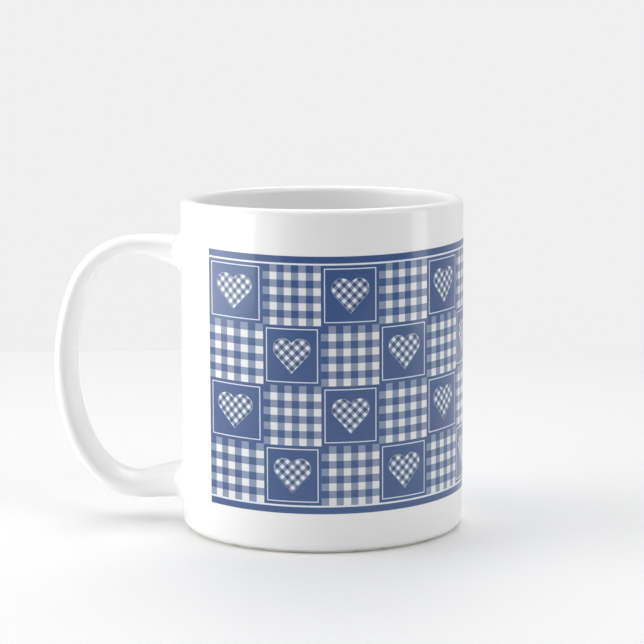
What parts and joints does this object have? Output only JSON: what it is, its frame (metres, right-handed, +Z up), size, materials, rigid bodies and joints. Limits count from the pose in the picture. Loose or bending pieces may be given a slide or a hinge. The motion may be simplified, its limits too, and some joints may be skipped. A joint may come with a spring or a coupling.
{
  "type": "ceramic mug",
  "caption": "Straight-sided white glazed ceramic mug with a strap handle and a printed band of blue checks and hearts round the wall.",
  "frame": {"origin": "on the mug's axis, on the plane that the foot ring stands on", "axes": "+Z up the axis and out of the mouth, the handle along -X, the middle of the printed band near +X"},
  "size_m": [0.1211, 0.0822, 0.096],
  "materials": {
    "bare_clay": "matte",
    "slip": "matte",
    "white_glaze": "gloss",
    "printed_transfer": "gloss"
  },
  "bodies": {
    "root": {"mug_body": "bare_clay", "handle": "bare_clay", "upper_slip_joint": "slip", "lower_slip_joint": "slip", "inner_glaze": "white_glaze", "outer_glaze": "white_glaze", "handle_glaze": "white_glaze", "base_glaze": "white_glaze", "printed_band": "printed_transfer"}
  },
  "joints": []
}
